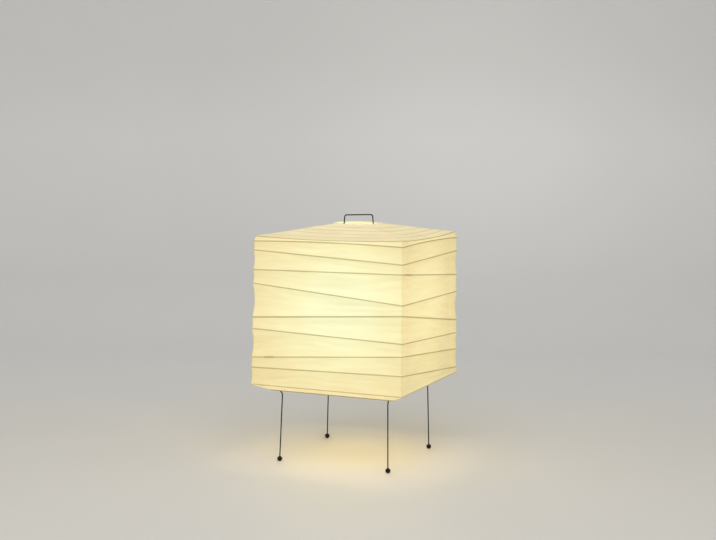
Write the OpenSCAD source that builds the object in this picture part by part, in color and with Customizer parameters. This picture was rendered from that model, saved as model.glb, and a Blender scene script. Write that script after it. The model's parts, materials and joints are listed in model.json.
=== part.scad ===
// Paper table lamp: a box-shaped paper shade on bamboo ribs, stretched over a bent wire frame.
// Origin on the floor under the middle of the lamp, +Z up, the shade's front wall faces -Y.

/* [Shade] */
// Width of the shade at its bottom edge, over the paper
shade_w = 400; // [380:1:410]
// How much narrower the shade is at its top edge than at its bottom edge
shade_taper = 9; // [0:0.5:12]
// Height of the walls, from the bottom edge to the hoop at their top edge
wall_h = 357; // [345:1:380]
// Rise of the roof from the corners of the top hoop to the ring in its middle
top_rise = 38.5; // [32:0.5:50]
// How far the top hoop bows up in the middle of each side
hoop_bow = 3.6; // [0:0.1:4.5]
// How far the roof's outermost line sags in the middle of each side
roof_sag = 5.2; // [0:0.1:5.5]
// Distance that the bottom band turns in under the walls
band_in = 38; // [34:1:42]
// Drop of the bottom band from the walls' edge to the rim
band_drop = 16; // [12:1:18]
// Thickness of the paper with its paste
paper_t = 0.5; // [0.4:0.05:0.6]
// Width of the front sheet's glued edge on the side walls
lap_front = 28; // [20:1:40]
// Width of the back sheet's glued edge on the side walls
lap_back = 48; // [30:1:60]
// How far the paper draws in between two ribs, as a share of their distance
draw_in = 0.045; // [0.02:0.005:0.05]

/* [Bamboo] */
// Width of the split bamboo, flat against the paper
rib_w = 2.8; // [2.2:0.1:3]
// Thickness of the split bamboo
rib_t = 1.6; // [1.3:0.1:1.8]
// Width of the rim round the open bottom
rim_t = 3.4; // [3:0.1:4]
// Height of the rim round the open bottom
rim_w = 3; // [2.6:0.1:3.4]
// Thickness of the battens glued over the joins in the bamboo
splice_t = 1.2; // [0.8:0.1:1.5]
// Length of the batten on the front wall
splice_front = 22; // [16:1:30]
// Length of the batten on the right wall
splice_side = 50; // [30:1:60]

/* [Wire frame] */
// Diameter of the frame's wire
wire_d = 3; // [2.6:0.1:3.2]
// Diameter of the ring in the top opening, at the middle of its wire
ring_d = 120; // [112:1:126]
// Height of the bottom rim's middle above the floor
rim_z = 182.5; // [165:0.5:195]
// Distance of the feet from the lamp's axis, along the diagonals
foot_r = 206.3; // [200:0.1:212]
// Distance of the legs from the axis where they bend out under the shade
leg_top_r = 199.9; // [194:0.1:202]
// Radius of the bend at the top of a leg, at the middle of the wire
leg_bend_r = 15; // [10:1:17]
// Height of the arms over the leg wires, where both pass the rim
arm_lift = 18; // [16:0.5:20]
// Radius of the hairpin that grips the bottom corner of the shade
hairpin_r = 5; // [4.5:0.1:5.4]
// Diameter of the ball feet
foot_d = 12.5; // [11:0.5:14]
// Depth of the small flat under each ball foot
foot_flat = 0.35; // [0.3:0.05:0.5]
// Distance of the upright wires from the axis
upright_r = 66; // [64:0.5:70]
// Half the width of the handle where it leaves the shoulders
handle_low_r = 40; // [38:0.5:42]
// Half the width of the handle at its top
handle_top_r = 37.8; // [35:0.1:39]
// Height of the handle's top wire above the ring, middle to middle
handle_h = 22; // [18:0.5:30]
// Radius of the bends at the handle's top
handle_bend_r = 5.5; // [4:0.5:7]
// Radius of the bends at the shoulders
shoulder_bend_r = 4; // [3.5:0.1:4.5]

/* [Hub] */
// Diameter of the hub plate
hub_d = 60; // [50:1:70]
// Thickness of the hub plate
hub_t = 2; // [1.5:0.1:3]
// Outer diameter of the threaded stem tube
stem_d = 10; // [9:0.1:10.5]
// Bore of the threaded stem tube
stem_bore = 7; // [6:0.1:7.5]
// Width of the stem's nuts across their flats
nut_af = 14; // [13:0.5:16]
// Height of the stem's nuts
nut_h = 3.5; // [3:0.1:5]
// Length of the tubes that take the upright's ends
socket_l = 24; // [18:1:30]
// Outer diameter of those tubes
socket_d = 6.4; // [5.6:0.1:7]
// Bore for the lead in the bush at the stem's lower end
cord_bore = 6.2; // [5.5:0.1:7]

/* [Lamp] */
// Height of the middle of the bulb's globe above the floor
lamp_z = 385; // [370:1:395]
// Diameter of the bulb's globe
bulb_d = 60; // [55:1:65]
// Length of the bulb from its tip to the middle of the globe
bulb_reach = 78; // [76:1:84]
// Wall of the bulb's glass
glass_t = 0.8; // [0.6:0.1:1.2]
// Diameter of the bulb's screw cap over its thread
cap_d = 26.1; // [25.9:0.05:26.3]
// Outer diameter of the lampholder's body
holder_d = 36; // [35.4:0.1:40]
// Wall of the lampholder's mouldings
holder_wall = 1.6; // [1.3:0.1:1.8]
// Height of the lampholder's body
holder_h = 38; // [37:0.5:40]
// Height of the lampholder's domed cap
holder_cap_h = 16; // [14:0.5:20]

/* [Hidden] */

// Every circle in the part is drawn this fine
$fn = 64;

// Gap left between pieces that are glued, seated or welded
slip = 0.05;
// Radial clearance of the screw cap in its shell
thread_gap = 0.07;
// Gap between the glued edges and the sheet under them, which is not quite flat
lap_bed = 0.15;
// Gap under the bulb's tip
tip_gap = 0.3;
// Room behind the paper for a strip on its own line, and under the roof for one laid flat
wall_bed = 0.25;
roof_bed = 0.7;
// Corner chamfer of the split bamboo
rib_chamfer = 0.4;
// Thickness of the paper's glued edges
lap_t = 0.4;
// Rows of each sheet between two lines, its columns from corner to corner, and the bamboo's
wall_steps = 4;
roof_steps = 2;
cols = 8;
band_cols = 4;
rib_cols = 4;

shade_top_w = shade_w - shade_taper;
bottom_z = rim_z + band_drop;
top_z = bottom_z + wall_h;
ring_z = top_z + top_rise;
handle_z = ring_z + handle_h;
seam = paper_t + slip;
wire_r = wire_d / 2;
rim_half = shade_w / 2 - band_in;
hem_r = wire_r + slip + paper_t;
// Room behind the paper for a hoop at a wall's edge: the paper draws in over the hoop's width
hoop_bed = slip + rib_w * (4 * draw_in * (1 - 1 / wall_steps) + shade_taper / (2 * wall_h));

// The corners in the order in which the bamboo runs: front left, front right, back right, back left
CORNERS = [[-1, -1], [1, -1], [1, 1], [-1, 1]];

// Where the wall strip stands at each corner that it turns, as a percentage of the wall from its
// top edge: it starts at the back left corner and goes round the shade seven times
WALL_START = 1.5;
WALL_TURNS = [
    [6.5, 12, 10, 15],
    [20, 18.5, 27.5, 28.5],
    [29.5, 39, 40, 46.5],
    [53, 46, 61, 61],
    [61, 64.5, 70.5, 76],
    [81, 73, 82.5, 85],
    [88, 86, 96, 98.5]
];
WALL_STRIP = [WALL_START, for (turn = WALL_TURNS) each turn];

// Where the roof's strip stands at each corner, as a percentage of the way in from the top edge:
// it starts near the ring at the back left corner and winds out in five turns. The outermost one
// lies in the fold between roof and walls, which stands above the hoop.
ROOF_START = 94;
ROOF_TURNS = [
    [88, 86, 78, 76],
    [67, 66, 55, 53],
    [48, 43, 37, 32],
    [19, 25, 21, 14],
    [2, 2, 3.5, 3]
];
ROOF_STRIP = [ROOF_START, for (turn = ROOF_TURNS) each turn];
outer_turn = ROOF_TURNS[len(ROOF_TURNS) - 1];

// Where the left side's fold comes to the front left corner: below the strip that arrives there,
// as a percentage of the way down from the strip to the hoop, with a minus
FOLD_END = -25;
// How far the strip runs on along that fold, as a share of the side
strip_tail = 0.25;

// How high each ridge's swelling starts over the hoop's corner, in percent of the roof's rise, and
// the power by which it dies away towards the ring
RIDGE_SWELL = [30.5, 35.5, 37, 33];
swell_power = 1.5;

function mix(a, b, t) = a + (b - a) * t;

// The rise of an arch over its chord, 0 at both ends and 1 in the middle
function arch(t) = 4 * t * (1 - t);

// A point on one side of the shade: across is 0 at its left corner and 1 at its right one, h is
// how far the side stands from the axis there, and gap keeps it from the mitred corners
function on_side(face, across, h, z, gap = 0) =
    let (a = 90 * face, x = (2 * across - 1) * (h - gap))
    [x * cos(a) + h * sin(a), x * sin(a) - h * cos(a), z];

// Half the width of the shade over the paper, at height z
function half_at(z) = mix(shade_w, shade_top_w, (z - bottom_z) / wall_h) / 2;

// Distance from the top edge to the ring, level, in the middle of a side
roof_run = shade_top_w / 2 - ring_d / 2;

// A place on a corner's ridge, as its half width and its height: p percent of the way in, or with
// a minus that much of the way down from the outermost strip to the hoop
function ridge_at(corner, p) =
    p < 0
    ? mix(ridge_at(corner, outer_turn[corner]), [half_at(top_z), top_z], -p / 100)
    : let (way = p / 100)
      [shade_top_w / 2 - roof_run * way,
       top_z + top_rise * (way + RIDGE_SWELL[corner] / 100 * pow(1 - way, swell_power))];

// The two ends of a line on one side, where the strip with these places crosses it in a turn
function crossing(strip, face, turn) =
    let (first = 4 * turn + face + (face == 3 ? -3 : 1))
    [strip[first], strip[first + 1]];

// The two ends of each line on one side of the roof, from the fold inwards
function roof_lines(face) = [
    if (face == 3) [outer_turn[3], FOLD_END],
    for (turn = [len(ROOF_TURNS) - 1 : -1 : 0]) crossing(ROOF_STRIP, face, turn)
];

// Half width and height of a roof line at a place across its side
function roof_at(face, ends, across) =
    let (
        at = mix(ridge_at(face, ends[0]), ridge_at((face + 1) % 4, ends[1]), across),
        way = max(0, mix(ends[0], ends[1], across)) / 100
    )
    [at.x, at.y - roof_sag * (1 - way) * arch(across)];

// Height of a place on the wall, given as a percentage from the top edge
function wall_z(p) = mix(top_z, bottom_z + seam, p / 100);

// The two ends of each line on a wall below the fold: the hoop, the strip's turns, the lower fold
function wall_lines(face) = [
    [0, 0],
    for (turn = [0 : len(WALL_TURNS) - 1]) crossing(WALL_STRIP, face, turn),
    [100, 100]
];

// Half width and height of a wall's line at a place across it: line 0 is the fold under the roof
function wall_at(face, lines, line, across) =
    line == 0
    ? roof_at(face, roof_lines(face)[0], across) - [0, seam]
    : let (ends = lines[line - 1], bow = line == 1 ? hoop_bow * arch(across) : 0,
           z = mix(wall_z(ends[0]), wall_z(ends[1]), across) + bow)
      [half_at(z), z];

// A point of a wall: down is a line's number and a share of the way to the next, and out moves
// the point off the paper's outer surface
function wall_point(face, lines, across, down, out) =
    let (
        line = min(floor(down), len(lines) - 1),
        share = down - line,
        above = wall_at(face, lines, line, across),
        below = wall_at(face, lines, line + 1, across),
        at = mix(above, below, share),
        dip = draw_in * (above.y - below.y) * arch(share)
    )
    on_side(face, across, at.x - dip + out, at.y, slip);

// The paper's edge at the ring: its chords clear the hem
paper_ring_r = (ring_d / 2 + hem_r + slip) / cos(45 / cols);

// A point on a line of the roof, or on the ring past the last line
function roof_line_point(face, lines, line, across) =
    let (a = -135 + 90 * (face + across))
    line < len(lines)
    ? let (at = roof_at(face, lines[line], across)) on_side(face, across, at.x, at.y)
    : [paper_ring_r * cos(a), paper_ring_r * sin(a), ring_z];

// A point of one side of the roof, with the paper drawn in between the lines, and pulled back from
// the mitre: under moves it to the paper's inner surface, which at the fold also stands back
function roof_point(face, lines, across, inwards, under) =
    let (
        line = min(floor(inwards), len(lines) - 1),
        share = inwards - line,
        from = roof_line_point(face, lines, line, across),
        to = roof_line_point(face, lines, line + 1, across),
        dip = draw_in * norm(to - from) * arch(share) * (1 - pow(2 * across - 1, 4)),
        p = mix(from, to, share),
        a = 90 * face,
        along = p.x * cos(a) + p.y * sin(a),
        off = p.x * sin(a) - p.y * cos(a) - under * max(0, 1 - inwards),
        keep = max(min(along, off - slip), slip - off)
    )
    [keep * cos(a) + off * sin(a), keep * sin(a) - off * cos(a), p.z - dip - under];

// Two triangles for a square of a grid, seen from outside
function quad(a, b, c, d) = [[a, b, c], [a, c, d]];

// A thin sheet between two grids of points, each a list of rows
module sheet(outer, inner) {
    rows = len(outer);
    cols = len(outer[0]);
    count = rows * cols;
    function at(side, i, j) = side * count + i * cols + j;
    points = [for (side = [outer, inner]) for (row = side) each row];
    faces = [
        for (i = [0 : rows - 2]) for (j = [0 : cols - 2])
            each quad(at(0, i, j), at(0, i, j + 1), at(0, i + 1, j + 1), at(0, i + 1, j)),
        for (i = [0 : rows - 2]) for (j = [0 : cols - 2])
            each quad(at(1, i, j), at(1, i + 1, j), at(1, i + 1, j + 1), at(1, i, j + 1)),
        for (j = [0 : cols - 2])
            each quad(at(1, 0, j), at(1, 0, j + 1), at(0, 0, j + 1), at(0, 0, j)),
        for (j = [0 : cols - 2])
            each quad(at(0, rows - 1, j), at(0, rows - 1, j + 1), at(1, rows - 1, j + 1), at(1, rows - 1, j)),
        for (i = [0 : rows - 2])
            each quad(at(1, i, 0), at(0, i, 0), at(0, i + 1, 0), at(1, i + 1, 0)),
        for (i = [0 : rows - 2])
            each quad(at(0, i, cols - 1), at(1, i, cols - 1), at(1, i + 1, cols - 1), at(0, i + 1, cols - 1))
    ];
    polyhedron(points, faces, convexity = 10);
}

// A strip swept through rings of points, with closed ends or joined up in a loop
module swept(rings, loop = false) {
    sides = len(rings[0]);
    last = len(rings) - 1;
    count = len(rings) * sides;
    points = [for (ring = rings) each ring];
    faces = [
        if (!loop) [for (i = [0 : sides - 1]) i],
        for (k = [0 : loop ? last : last - 1]) for (i = [0 : sides - 1])
            let (a = k * sides + i, b = k * sides + (i + 1) % sides)
                each quad(a, (a + sides) % count, (b + sides) % count, b),
        if (!loop) [for (i = [sides - 1 : -1 : 0]) last * sides + i]
    ];
    polyhedron(points, faces, convexity = 10);
}

// Section of the split bamboo: first across its thickness, then across its width
RIB_SECTION =
    let (t = rib_t / 2, w = rib_w / 2, c = rib_chamfer)
    [[t, c - w], [t, w - c], [t - c, w], [c - t, w], [-t, w - c], [-t, c - w], [c - t, -w], [t - c, -w]];

// Half the distance between the strip's middles on opposite walls, at height z
function strip_half(z) = half_at(z) - paper_t - wall_bed - rib_t / 2;

// One wall's sheet, or an upright stretch of it, from the fold under the roof to the lower fold
module wall_sheet(face, from = 0, to = 1, steps = cols, out = 0, thick = paper_t) {
    lines = wall_lines(face);
    rows = wall_steps * len(lines);
    function grid(off) = [
        for (i = [0 : rows]) [
            for (j = [0 : steps])
                wall_point(face, lines, mix(from, to, j / steps), i / wall_steps, off)
        ]
    ];
    sheet(grid(out), grid(out - thick));
}

module wall_paper(face) {
    color([0.96, 0.90, 0.70]) wall_sheet(face);
}

// One side of the roof
module top_paper(face) {
    lines = roof_lines(face);
    rows = roof_steps * len(lines);
    function grid(under) = [
        for (i = [rows : -1 : 0]) [
            for (j = [0 : cols]) roof_point(face, lines, j / cols, i / roof_steps, under)
        ]
    ];
    color([0.95, 0.89, 0.71]) sheet(grid(0), grid(paper_t));
}

// The roof's inner edges, turned round the ring's wire and glued
module ring_hem() {
    color([0.93, 0.86, 0.67]) translate([0, 0, ring_z])
        rotate_extrude() translate([ring_d / 2, 0]) difference() {
            circle(r = hem_r);
            circle(r = hem_r - paper_t);
        }
}

// One side of the band turned in under the walls
module bottom_paper(face) {
    edge = shade_w / 2;
    rim = rim_half + rim_t / 2 + slip;
    function row(h, z) = [
        for (j = [0 : band_cols]) [(2 * j / band_cols - 1) * (h - slip), -h, z]
    ];
    color([0.96, 0.90, 0.72]) rotate([0, 0, 90 * face]) sheet(
        [row(edge, bottom_z), row(mix(edge, rim, 0.5), mix(bottom_z, rim_z, 0.5)), row(rim, rim_z)],
        [row(edge, bottom_z + paper_t), row(mix(edge, rim, 0.5), mix(bottom_z, rim_z, 0.5) + paper_t),
         row(rim, rim_z + paper_t)]
    );
}

// The glued edges of the front and back sheets, on the outside of the two side walls
module paper_laps() {
    near = lap_front / shade_w;
    far = lap_back / shade_w;
    out = lap_bed + lap_t;
    color([0.92, 0.85, 0.64]) {
        wall_sheet(1, 0, near, 1, out, lap_t);
        wall_sheet(1, 1 - far, 1, 1, out, lap_t);
        wall_sheet(3, 0, far, 1, out, lap_t);
        wall_sheet(3, 1 - near, 1, 1, out, lap_t);
    }
}

// The strip wound down the walls, one mitred ring of points at each corner
module side_spiral_rib() {
    color([0.62, 0.50, 0.28]) swept([
        for (n = [0 : len(WALL_STRIP) - 1])
            let (c = CORNERS[(n + 3) % 4], z = wall_z(WALL_STRIP[n]), h = strip_half(z))
                [for (s = RIB_SECTION) [c.x * (h + s.x), c.y * (h + s.x), z + s.y]]
    ]);
}

// The roof strip's section at a place across one side, where it lies flat beside its line
function roof_ring(face, ends, across) =
    let (at = roof_at(face, ends, across), h = at.x - paper_t - wall_bed - rib_w / 2,
         z = at.y - paper_t - roof_bed - rib_t / 2)
    [for (s = RIB_SECTION) on_side(face, across, h - s.y, z + s.x)];

// The strip wound over the roof, and on along the fold of the left side to its end
module top_spiral_rib() {
    runs = len(ROOF_STRIP) - 1;
    color([0.62, 0.50, 0.28]) swept([
        for (n = [0 : runs - 1]) for (j = [0 : rib_cols - 1])
            roof_ring((n + 3) % 4, [ROOF_STRIP[n], ROOF_STRIP[n + 1]], j / rib_cols),
        for (j = [0 : 1]) roof_ring(3, [ROOF_STRIP[runs], FOLD_END], strip_tail * j)
    ]);
}

// A flat square hoop between two half widths
module hoop(outer, inner, low, high) {
    translate([0, 0, low]) linear_extrude(high - low) difference() {
        square(2 * outer, center = true);
        square(2 * inner, center = true);
    }
}

// The hoop at the walls' top edge, its upper edge in the paper's fold, bowed up on each side
module top_hoop() {
    h = half_at(top_z) - paper_t - hoop_bed - rib_t / 2;
    color([0.62, 0.50, 0.28]) swept([
        for (face = [0 : 3]) for (j = [0 : rib_cols - 1])
            let (across = j / rib_cols, z = top_z + hoop_bow * arch(across) - rib_w / 2)
                [for (s = RIB_SECTION) on_side(face, across, h + s.x, z + s.y)]
    ], loop = true);
}

module bottom_hoop() {
    outer = half_at(bottom_z) - paper_t - hoop_bed;
    color([0.62, 0.50, 0.28]) hoop(outer, outer - rib_t, bottom_z + seam, bottom_z + seam + rib_w);
}

module bottom_rim() {
    color([0.60, 0.48, 0.27])
        hoop(rim_half + rim_t / 2, rim_half - rim_t / 2, rim_z - rim_w / 2, rim_z + rim_w / 2);
}

// A batten on the inside of the wall strip, a distance along the run that starts at corner n
module splice(n, start, length) {
    from = strip_corner(n);
    to = strip_corner(n + 1);
    run = to - from;
    translate(from)
        rotate([0, 0, atan2(run.y, run.x)])
            rotate([0, -atan2(run.z, norm([run.x, run.y])), 0])
                translate([start, rib_t / 2 + slip, rib_chamfer - rib_w / 2])
                    cube([length, splice_t, rib_w - 2 * rib_chamfer]);
}

// Middle of the wall strip at its nth corner
function strip_corner(n) =
    let (c = CORNERS[(n + 3) % 4], z = wall_z(WALL_STRIP[n]), h = strip_half(z))
    [c.x * h, c.y * h, z];

// How far from its corner each batten starts
splice_from_corner = 8;
splice_front_from = 36;
module rib_splices() {
    color([0.55, 0.43, 0.23]) {
        splice(21, splice_front_from, splice_front);
        splice(6, splice_from_corner, splice_side);
        splice(15, splice_front_from, splice_side);
        splice(12, splice_from_corner, splice_side);
    }
}

// Angle of the line from one point of a wire's plane to the next
function heading(a, b) = atan2(b.y - a.y, b.x - a.x);

// Turn of the path at point i, from -180 to 180, left turns positive
function turn_at(path, i) =
    let (t = heading(path[i], path[i + 1]) - heading(path[i - 1], path[i]))
    t > 180 ? t - 360 : (t < -180 ? t + 360 : t);

// Length that the bend at point i takes from the straight on each side of it
function tangent_at(path, radii, i) =
    i == 0 || i == len(path) - 1 ? 0 : radii[i - 1] * tan(abs(turn_at(path, i)) / 2);

// How far the straights run into the bends, and how much thinner they are there than the bends
bend_overlap = 0.1;
bend_step = 0.02;

// A wire bent in one plane: the path's x is level, its y is up, and radii are at the wire's middle
module bent_wire(path, radii, d = wire_d) {
    for (i = [0 : len(path) - 2]) {
        a = heading(path[i], path[i + 1]);
        start = tangent_at(path, radii, i) - (i == 0 ? 0 : bend_overlap);
        stop = tangent_at(path, radii, i + 1) - (i == len(path) - 2 ? 0 : bend_overlap);
        translate([path[i].x + start * cos(a), 0, path[i].y + start * sin(a)])
            rotate([0, 90 - a, 0])
                cylinder(d = d - bend_step, h = norm(path[i + 1] - path[i]) - start - stop);
    }
    for (i = [1 : len(path) - 2]) {
        a = heading(path[i - 1], path[i]);
        turn = turn_at(path, i);
        side = sign(turn);
        start = tangent_at(path, radii, i);
        r = radii[i - 1];
        middle = path[i] - start * [cos(a), sin(a)] + side * r * [-sin(a), cos(a)];
        from = side > 0 ? a - 90 : a + turn + 90;
        translate([middle.x, 0, middle.y]) rotate([90, 0, 0]) rotate([0, 0, from])
            rotate_extrude(angle = abs(turn)) translate([r, 0]) circle(d = d);
    }
}

module top_ring() {
    color([0.10, 0.10, 0.10]) translate([0, 0, ring_z])
        rotate_extrude() translate([ring_d / 2, 0]) circle(d = wire_d);
}

// The leg wire runs out over the rim, along the inside of the bottom band's corner
rim_inner_r = (rim_half - rim_t / 2) * sqrt(2);
limb_slope = atan(band_drop / ((band_in - rim_t / 2) * sqrt(2)));
limb_z = rim_z + rim_w / 2 + slip + wire_r / cos(limb_slope);
arm_z = limb_z + arm_lift;
function limb_at(r) = limb_z + (r - rim_inner_r) * tan(limb_slope);

foot_z = foot_d / 2 - foot_flat;
hub_gap_r = 13;
LEG_PATH = [
    [foot_r, foot_z],
    [leg_top_r, limb_at(leg_top_r)],
    [rim_inner_r + arm_lift / tan(limb_slope), arm_z],
    [hub_gap_r, arm_z]
];
leg_lean = heading(LEG_PATH[0], LEG_PATH[1]);

// Turns what is drawn in the plane of the wires to the diagonal of a corner
module on_diagonal(corner) {
    rotate([0, 0, 90 * corner - 135]) children();
}

module leg(corner) {
    color([0.08, 0.08, 0.08]) on_diagonal(corner) bent_wire(LEG_PATH, [leg_bend_r, hairpin_r]);
}

module foot(corner) {
    color([0.05, 0.05, 0.05]) on_diagonal(corner) difference() {
        intersection() {
            translate([foot_r, 0, foot_z]) sphere(d = foot_d);
            translate([foot_r - foot_d, -foot_d, 0]) cube([2 * foot_d, 2 * foot_d, 2 * foot_d]);
        }
        translate([foot_r, 0, foot_z]) rotate([0, 90 - leg_lean, 0])
            translate([0, 0, -slip]) cylinder(d = wire_d + 2 * slip, h = foot_d);
    }
}

shoulder_z = ring_z - hem_r - slip - wire_r;
upright_foot_z = arm_z + wire_r + slip;
module upright() {
    half = [
        [upright_r, upright_foot_z], [upright_r, shoulder_z],
        [handle_low_r, shoulder_z], [handle_top_r, handle_z]
    ];
    path = [each half, for (i = [3 : -1 : 0]) [-half[i].x, half[i].y]];
    bends = [shoulder_bend_r, shoulder_bend_r, handle_bend_r];
    color([0.08, 0.08, 0.08]) on_diagonal(2)
        bent_wire(path, [each bends, for (i = [2 : -1 : 0]) bends[i]]);
}

hub_z = arm_z + wire_r + slip;
module hub_plate() {
    color([0.12, 0.12, 0.12]) translate([0, 0, hub_z]) difference() {
        cylinder(d = hub_d, h = hub_t);
        translate([0, 0, -1]) cylinder(d = stem_d + 4 * slip, h = hub_t + 2);
    }
}

// Short tubes that straddle the arms on the upright's diagonal
module upright_sockets() {
    color([0.12, 0.12, 0.12]) on_diagonal(2) for (side = [-1, 1])
        difference() {
            translate([side * upright_r, 0, arm_z]) cylinder(d = socket_d, h = socket_l);
            translate([side * upright_r, 0, arm_z - 1]) cylinder(d = wire_d + 2 * slip, h = socket_l + 2);
            translate([side * upright_r - socket_d, 0, arm_z]) rotate([0, 90, 0])
                cylinder(d = wire_d + 2 * slip, h = 2 * socket_d);
        }
}

// Length of the stem below its lowest nut and inside the lampholder's cap
stem_below = 5;
stem_inside = 8;
// Depth of the shell's floor and of the holder's split under the bulb's tip
shell_depth = 4;
split_depth = 14;
tip_z = lamp_z - bulb_reach;
holder_split_z = tip_z - split_depth;
holder_base_z = holder_split_z - holder_cap_h;
stem_low_z = hub_z - nut_h - stem_below;
stem_top_z = holder_base_z + stem_inside;
module stem_tube() {
    color([0.55, 0.53, 0.48]) translate([0, 0, stem_low_z]) difference() {
        cylinder(d = stem_d, h = stem_top_z - stem_low_z);
        translate([0, 0, -1]) cylinder(d = stem_bore, h = stem_top_z - stem_low_z + 2);
    }
}

// One nut under the plate, one on it and one under the lampholder
module stem_nuts() {
    color([0.60, 0.58, 0.52])
        for (z = [hub_z - nut_h - slip, hub_z + hub_t + slip, holder_base_z - nut_h - slip])
            translate([0, 0, z]) difference() {
                cylinder(d = nut_af / cos(30), h = nut_h, $fn = 6);
                translate([0, 0, -1]) cylinder(d = stem_d + 2 * slip, h = nut_h + 2);
            }
}

bush_d = 15;
bush_floor = 3;
bush_grip = 4.5;
bush_seat = stem_low_z + bush_grip;
module cord_bush() {
    low = stem_low_z - slip - bush_floor;
    color([0.07, 0.07, 0.07]) difference() {
        rotate_extrude() polygon([
            [0, low], [bush_d / 2 - 2, low], [bush_d / 2, low + 2],
            [bush_d / 2, bush_seat - 1], [bush_d / 2 - 1, bush_seat], [0, bush_seat]
        ]);
        translate([0, 0, low - 1]) cylinder(d = cord_bore, h = bush_floor + 2);
        translate([0, 0, low + bush_floor]) cylinder(d = stem_d + 2 * slip, h = foot_d);
    }
}

// The domed lower part of the lampholder, hollow over its boss
boss_d = 17;
module holder_cap() {
    r = holder_d / 2;
    w = holder_wall;
    top = holder_split_z - slip;
    color([0.09, 0.09, 0.09]) difference() {
        rotate_extrude() polygon([
            [0, holder_base_z], [boss_d / 2, holder_base_z], [r - 4, holder_base_z + 4],
            [r - 1, holder_base_z + 8], [r, holder_base_z + 11], [r, top], [0, top]
        ]);
        rotate_extrude() polygon([
            [0, stem_top_z + slip], [boss_d / 2 - 1, stem_top_z + slip],
            [boss_d / 2 + 1, holder_base_z + 5], [r - 4, holder_base_z + 6.5],
            [r - w - 0.5, holder_base_z + 9], [r - w, holder_base_z + 11.5], [r - w, top + 1],
            [0, top + 1]
        ]);
        translate([0, 0, holder_base_z - 1]) cylinder(d = stem_d + 2 * slip, h = holder_cap_h);
    }
}

shell_r = cap_d / 2 + thread_gap;
shell_wall = 0.5;
shell_floor_z = tip_z - shell_depth;
holder_top_z = holder_split_z + holder_h;

// The lampholder's outer body, with grip flutes and a lip over the screw shell
flutes = 24;
lip_h = 2;
module holder_body() {
    r = holder_d / 2;
    lip = shell_r + shell_wall + 0.4;
    color([0.09, 0.09, 0.09]) difference() {
        rotate_extrude() polygon([
            [r - holder_wall, holder_split_z], [r, holder_split_z], [r, holder_top_z - 3],
            [r - 1.5, holder_top_z], [lip, holder_top_z], [lip, holder_top_z - lip_h],
            [r - holder_wall, holder_top_z - 2 * lip_h]
        ]);
        for (i = [0 : flutes - 1])
            rotate([0, 0, 360 / flutes * i]) translate([r + 0.5, 0, holder_split_z + 4])
                cylinder(d = 2, h = holder_h - 12);
    }
}

// Radius of the insulator's raised middle, and of the rivet and the two studs through it
core_r = 8;
stud_r = 1.55;
stud_at = 11;
insulator_low_z = holder_split_z + slip;
module holder_insulator() {
    r = holder_d / 2 - holder_wall - 2 * slip;
    color([0.93, 0.92, 0.88]) difference() {
        union() {
            translate([0, 0, insulator_low_z]) cylinder(r = r, h = shell_floor_z - slip - insulator_low_z);
            translate([0, 0, insulator_low_z]) cylinder(r = core_r, h = shell_floor_z + 1 - insulator_low_z);
        }
        for (x = [-stud_at, 0, stud_at])
            translate([x, 0, insulator_low_z - 1]) cylinder(r = stud_r + slip, h = holder_h);
    }
}

module holder_screw_shell() {
    r = shell_r + shell_wall;
    top = holder_top_z - lip_h - 0.5;
    color([0.80, 0.66, 0.32]) rotate_extrude() polygon([
        [core_r + slip, shell_floor_z], [r, shell_floor_z], [r, top], [shell_r, top],
        [shell_r, shell_floor_z + shell_wall], [core_r + slip, shell_floor_z + shell_wall]
    ]);
}

// The middle contact: a rivet through the insulator with a domed head
module holder_contact() {
    seat = shell_floor_z + 1 + slip;
    color([0.80, 0.66, 0.32]) rotate_extrude() polygon([
        [0, insulator_low_z - 1.5], [3, insulator_low_z - 1.5], [3, insulator_low_z - slip],
        [stud_r, insulator_low_z - slip], [stud_r, seat], [5, seat], [5, seat + 0.6],
        [3, tip_z - tip_gap], [0, tip_z - tip_gap]
    ]);
}

// Two terminal blocks under the insulator, each on a stud through it
terminal_hole_d = 2.2;
module holder_terminals() {
    top = insulator_low_z - slip;
    block = [5, 7, 5];
    color([0.78, 0.64, 0.30]) for (x = [-stud_at, stud_at]) translate([x, 0, 0]) union() {
        translate([0, 0, top - block.z]) difference() {
            translate([-block.x / 2, -block.y / 2, 0]) cube(block);
            translate([0, -block.y, block.z / 2]) rotate([-90, 0, 0])
                cylinder(d = terminal_hole_d, h = 2 * block.y);
        }
        translate([0, 0, top - 1]) cylinder(r = stud_r, h = shell_floor_z - slip - top + 1);
    }
}

bulb_r = bulb_d / 2;
neck_r = cap_d / 2 - 0.65;
neck_low_z = 22;
globe_from = -37.5;
// How far the outline runs on along the globe and along the neck before it swings to the other
globe_pull = 14;
neck_pull = 12;

function bezier(a, b, c, d, t) =
    pow(1 - t, 3) * a + 3 * t * pow(1 - t, 2) * b + 3 * t * t * (1 - t) * c + pow(t, 3) * d;

// Outline of the bulb from its crown to its neck, drawn in by a thickness
function bulb_outline(inside) =
    let (
        r = bulb_r - inside,
        neck = neck_r - inside,
        join = [r * cos(globe_from), bulb_reach + r * sin(globe_from)],
        along = [sin(globe_from), -cos(globe_from)]
    )
    [
        for (a = [90 : -7.5 : globe_from]) [r * cos(a), bulb_reach + r * sin(a)],
        for (i = [1 : 8])
            bezier(join, join + globe_pull * along, [neck, neck_low_z + neck_pull], [neck, neck_low_z], i / 8)
    ];

module bulb_glass() {
    outer = bulb_outline(0);
    inner = bulb_outline(glass_t);
    color([0.98, 0.96, 0.88]) translate([0, 0, tip_z]) rotate_extrude()
        polygon([each outer, for (i = [len(inner) - 1 : -1 : 1]) inner[i], [0, inner[0].y]]);
}

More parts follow.
